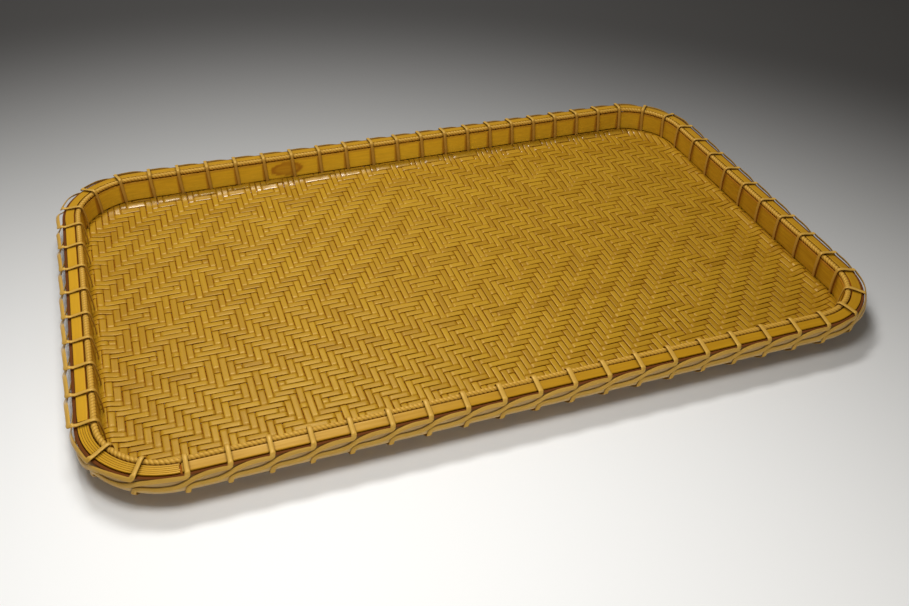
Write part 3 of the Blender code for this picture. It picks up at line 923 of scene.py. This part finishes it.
def cane_route(index):
    """Rim places and facing of one turn of cane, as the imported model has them."""
    half = cane_thick / 2
    off = clearance + half
    quarter = math.pi / 2
    top = wrap_place(index)
    foot = top - cane_lean
    leg = wrap_place(index - wraps_passed) - cane_lean
    under = mat_low - off
    bead_reach = (bead_radius + off) / math.cos(quarter / 4)
    turn = [(foot, -off, under, math.radians(225))]
    for angle in (2 * quarter, 1.5 * quarter, quarter):
        turn.append((top, bead_u + bead_reach * math.cos(angle),
                     bead_z + bead_reach * math.sin(angle), angle))
    edge_z = cap_edge_z + off + clearance / 2
    turn.append((top, cap_out_u + clearance, edge_z, math.radians(65)))
    stand = stand_share(top)
    leg_u = band_out_u + off
    slant_u = leg_u + cane_stand_off * stand * first_stand_share
    slant_z = band_top - cane_shoulder_drop + cane_shoulder_raise * stand
    tilt = cane_tilt * (least_tilt_share + (1 - least_tilt_share) * stand)
    over_u = cap_out_u + clearance + (slant_u - cap_out_u) * over_share
    turn.append((top, over_u, (edge_z + slant_z) / 2 + 2.5 * clearance, quarter / 2))
    turn.append((top - cane_start_drop, slant_u, slant_z, tilt))
    leg_top = outer_hoop_low + cane_leg_height
    slant_start = top - 2 * cane_start_drop
    slant_run = slant_start - leg - cane_turn
    passing = (slant_start - wrap_place(index - 1) + cane_start_drop) / slant_run
    leaving = passing + held_out_share
    for step in range(1, slant_points + 1):
        share = (step - 1 + first_point_share) / (slant_points - 1 + first_point_share)
        drop = smooth_step((share - passing + drop_lead_share) / drop_run_share)
        fall = even_fall_share * share + (1 - even_fall_share) * drop
        tuck = smooth_step((share - leaving) / (1 - leaving))
        out = first_stand_share + (1 - first_stand_share) * smooth_step(share / passing)
        u = leg_u + stand * (cane_stand_off * out + low_stand_off * drop) * (1 - tuck)
        z = slant_z + (leg_top - slant_z) * fall
        turn.append((slant_start - slant_run * share, u, z, tilt * (1 - tuck)))
    turn.append((leg + cane_turn / 4, leg_u, leg_top - cane_turn / 3, 0.0))
    turn.append((leg, leg_u, leg_top - cane_turn, 0.0))
    turn.append((leg, leg_u, band_low - half - clearance / 2, -quarter / 2))
    turn.append((leg, outer_hoop_u + clearance, under, -quarter))
    return turn


def smooth_path(points, pieces):
    """Rows of a curve through given rows, whose first three values are a place.

    Centripetal Catmull-Rom, a number of pieces to each gap: the knots lie the square root of each
    gap apart, and every gap is a cubic between its two rows with the slopes of the parabolas
    through three.
    """
    gap = np.sqrt(np.linalg.norm(np.diff(points[:, :3], axis=0), axis=1))[:, None]
    step = np.diff(points, axis=0) / gap
    inner_slope = (step[:-1] * gap[1:] + step[1:] * gap[:-1]) / (gap[:-1] + gap[1:])
    slope = np.concatenate([step[:1], inner_slope, step[-1:]])
    t = (np.arange(pieces) / pieces)[None, :, None]
    start, end = points[:-1, None], points[1:, None]
    lean_in, lean_out = slope[:-1, None] * gap[:, None], slope[1:, None] * gap[:, None]
    curve = (2 * t ** 3 - 3 * t ** 2 + 1) * start + (t ** 3 - 2 * t ** 2 + t) * lean_in
    curve = curve + (3 * t ** 2 - 2 * t ** 3) * end + (t ** 3 - t ** 2) * lean_out
    return np.concatenate([curve.reshape(-1, points.shape[1]), points[-1:]])


def cane_profile():
    """Section of flat cane: rounded skin side up, flat below."""
    half_w, half_t = cane_width / 2, cane_thick / 2
    share = np.array([0.8, 1.0, 0.86, 0.5, 0.0, -0.5, -0.86, -1.0, -0.8])
    level = np.array([-1.0, -0.2, 0.45, 0.85, 1.0, 0.85, 0.45, -0.2, -1.0])
    return np.stack([half_w * share, half_t * level], axis=-1)


# Nearness to the cane's edges, which darkens them with painted shade
cane_edge = np.array([0.3, 0.8, 0.35, 0.0, 0.0, 0.0, 0.35, 0.8, 0.3])
cane_steps = 4
# The canes are uneven: their width over the rim and outside it in the middle of each side, as
# shares of the model's
over_widths = np.array([1.15, 0.85, 0.95, 0.8])
slant_widths = np.array([1.15, 1.15, 1.0, 1.1])
# Inside the tray the skin is darker
cane_tones = (0.2, 0.5)
inside_tone = 0.9


def make_lashing(finish):
    """Four lengths of flat cane, each wound on unbroken, with its width and tone blended along it."""
    total = len(wraps)
    per_cane = math.ceil(total / cane_count)
    order = [total - 1 - wraps_passed * turn for turn in range(total)]
    for number in range(cane_count):
        turns = []
        for index in order[number * per_cane:(number + 1) * per_cane]:
            turns += cane_route(index)
        s, u, z, angle = np.array(turns).T
        _, out, _ = rim_frame(s)
        facing = out * np.cos(angle)[:, None]
        facing[:, 2] = np.sin(angle)
        curve = smooth_path(np.hstack([rim_points(s, u, z), facing]), cane_steps)
        path = curve[:, :3]
        across, up = path_frame(path, curve[:, 3:])
        over, slant = (np.interp(s, side_middles, widths, period=rim_run)
                       for widths in (over_widths, slant_widths))
        outside = (u > cap_out_u + clearance) & (z > outer_hoop_low)
        width = np.where(outside, slant, over)
        tint = chance.uniform(*cane_tones) + inside_tone * (u < 0)
        steps = np.arange(len(path)) / cane_steps
        width, tint = (np.interp(steps, np.arange(len(s)), values) for values in (width, tint))
        profile = cane_profile()[None] * np.stack([width, np.ones(len(path))], axis=-1)[:, None]
        shape = carried(profile, path, across, up, edge=cane_edge, tint=tint[:, None])
        build_piece(f"cane_length_{number + 1}", [shape], finish, "lashing",
                    f"lashing_cane_{number + 1}")


rib_round = 0.0003


def tucked_end(s):
    """Rib points and facing at one end: down from the outer hoop's pocket, round the mat's bend."""
    rib_u = outer_hoop_u + rib_thick / 2
    reach = rib_u - bend_u
    angle = -np.linspace(0, math.pi / 2, 9)
    u = np.concatenate([[rib_u], bend_u + reach * np.cos(angle)])
    z = np.concatenate([[outer_hoop_low + rib_tuck], floor_z + mat_bend_radius + reach * np.sin(angle)])
    angle = np.concatenate([[0.0], angle])
    _, out, _ = rim_frame(np.full(len(u), s))
    facing = out * np.cos(angle)[:, None]
    facing[:, 2] = np.sin(angle)
    return rim_points(np.full(len(u), s), u, z), facing


def gap_after(index):
    """Value of s midway between a wrap and the next one."""
    return (wrap_place(index) + wrap_place(index + 1)) / 2


def make_rib(name, start, end, low, finish):
    """Flat rib under the mat; one that runs lower than the mat rises to it near each end.

    The rise is half of one minus a cosine.
    """
    near, near_facing = tucked_end(start)
    far, far_facing = tucked_end(end)
    drop = near[-1, 2] - rib_thick / 2 - low
    ahead = unit(far[-1] - near[-1])
    length = np.linalg.norm(far[-1] - near[-1])
    share = np.linspace(0, 1, 9)[1:]
    fall = drop * (1 - np.cos(math.pi * share)) / 2
    run = np.concatenate([rib_rise_run * share, length - rib_rise_run * share[::-1]])
    middle = near[-1] + ahead * run[:, None]
    middle[:, 2] -= np.concatenate([fall, fall[::-1]])
    down = np.tile([0.0, 0.0, -1.0], (len(run), 1))
    path = np.concatenate([near, middle, far[::-1]])
    facing = np.concatenate([near_facing, down, far_facing[::-1]])
    across, up = path_frame(path, facing)
    half_w, half_t = rib_width / 2, rib_thick / 2
    profile = rounded(box_corners(-half_w, half_w, -half_t, half_t), rib_round, 3, 3)
    shape = carried(profile, path, across, up, tint=chance.uniform(0.2, 0.8))
    build_piece(f"{name}_split", [shape], finish, "rib", name)


def make_ribs(finish):
    """The five ribs, with their ends between wraps of the lashing."""
    for name, (start, end) in long_rib_wraps.items():
        make_rib(f"long_rib_{name}", gap_after(start), gap_after(end), 0.0, finish)
    for name, (start, end) in cross_rib_wraps.items():
        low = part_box(f"cross_rib_{name}")[0].z
        make_rib(f"cross_rib_{name}", gap_after(start), gap_after(end), low, finish)


# The table: a painted pool of light on its pale paper, where it is brightest, how it stretches
# sideways, and where painted shade starts and ends to darken it, in metres from there
table_reach = 4.0
painted_light_centre = (-0.22, -0.58, 0.0)
painted_light_stretch = (1.15, 1.0, 1.0)
painted_light_reach, painted_shade_reach = 0.30, 1.08


def make_floor():
    """Wide pale table top, with a painted pool of light in front of the tray and painted shade further
    back.
    """
    corners = [(x * table_reach, y * table_reach, 0) for x, y in ((-1, -1), (1, -1), (1, 1), (-1, 1))]
    mesh = bpy.data.meshes.new("table_top")
    mesh.from_pydata(corners, [], [(0, 1, 2, 3)])
    made, tree, shader = empty_material("table_paper_painted_light")
    place = add_node(tree, "ShaderNodeTexCoord").outputs["Object"]
    place = add_node(tree, "ShaderNodeVectorMath", {0: place, 1: painted_light_stretch}, operation="MULTIPLY")
    away = add_node(tree, "ShaderNodeVectorMath", {0: place.outputs[0], 1: painted_light_centre},
                    operation="DISTANCE").outputs["Value"]
    # Painted light and shade: pale near the brightest place, darker further off
    tone = add_node(tree, "ShaderNodeMapRange", {0: away, 1: painted_light_reach, 2: painted_shade_reach},
                    interpolation_type="SMOOTHSTEP").outputs[0]
    colour = add_node(tree, "ShaderNodeMix", {0: tone, 6: linear("#F5F5F3"), 7: linear("#3C3B3A")},
                      data_type="RGBA")
    tree.links.new(colour.outputs[2], shader.inputs["Base Color"])
    shader.inputs["Roughness"].default_value = 0.6
    mesh.materials.append(made)
    floor = bpy.data.objects.new("table_top", mesh)
    bpy.context.scene.collection.objects.link(floor)


def add_light(name, size, power, azimuth, elevation, distance):
    """A soft oblong lamp that looks at the tray; azimuth 0 is straight behind it, 90 to its right."""
    lamp = bpy.data.lights.new(name, "AREA")
    lamp.shape = "RECTANGLE"
    lamp.size, lamp.size_y = size
    lamp.energy = power
    thing = bpy.data.objects.new(name, lamp)
    a, e = math.radians(azimuth), math.radians(elevation)
    towards = Vector((math.sin(a) * math.cos(e), math.cos(a) * math.cos(e), math.sin(e)))
    thing.location = towards * distance
    thing.rotation_euler = towards.to_track_quat("Z", "Y").to_euler()
    bpy.context.scene.collection.objects.link(thing)


def make_light():
    """A softbox over the near left side, one behind for sheen, a low one in front, and a surround."""
    add_light("overhead_softbox", (0.2, 0.2), power=2.1, azimuth=-125, elevation=69, distance=0.62)
    add_light("back_softbox", (0.5, 0.2), power=9.7, azimuth=-4, elevation=60, distance=1.26)
    add_light("front_softbox", (0.3, 0.2), power=1.9, azimuth=180, elevation=12, distance=1.0)
    world = bpy.data.worlds.new("studio")
    bpy.context.scene.world = world
    world.use_nodes = True
    background = world.node_tree.nodes["Background"]
    background.inputs["Color"].default_value = linear("#FFF1DE")
    background.inputs["Strength"].default_value = 0.1


# The camera, matched to the photograph's rim lines; the photograph is 909 pixels wide
camera_place = (-0.16851, -0.45609, 0.35504)
camera_azimuth = math.radians(-20.758)
camera_elevation = math.radians(38.278)
camera_roll = math.radians(2.086)
focal_pixels = 943.957
photo_width = 909


def make_camera():
    """The camera at the photograph's place, angle and lens."""
    data = bpy.data.cameras.new("camera")
    data.sensor_width = 36.0
    data.lens = focal_pixels / photo_width * data.sensor_width
    data.clip_start = 0.01
    camera = bpy.data.objects.new("camera", data)
    a, e = camera_azimuth, camera_elevation
    back = Vector((math.sin(a) * math.cos(e), -math.cos(a) * math.cos(e), math.sin(e)))
    right = Vector((math.cos(a), math.sin(a), 0.0))
    turned = right * math.cos(camera_roll) + back.cross(right) * math.sin(camera_roll)
    axes = Matrix((turned, back.cross(turned), back)).transposed().to_4x4()
    camera.matrix_world = Matrix.Translation(camera_place) @ axes
    bpy.context.scene.collection.objects.link(camera)
    bpy.context.scene.camera = camera


make_camera()
make_floor()
make_light()
make_mat(mat_bamboo())
hoop_finish = hoop_bamboo()
make_inner_hoop(hoop_finish)
make_outer_hoop(hoop_finish)
make_band(band_bamboo())
make_bead(bead_cane())
make_caps(cap_bamboo())
make_lashing(lashing_cane())
make_ribs(rib_bamboo())
bpy.context.scene.view_settings.view_transform = "Standard"
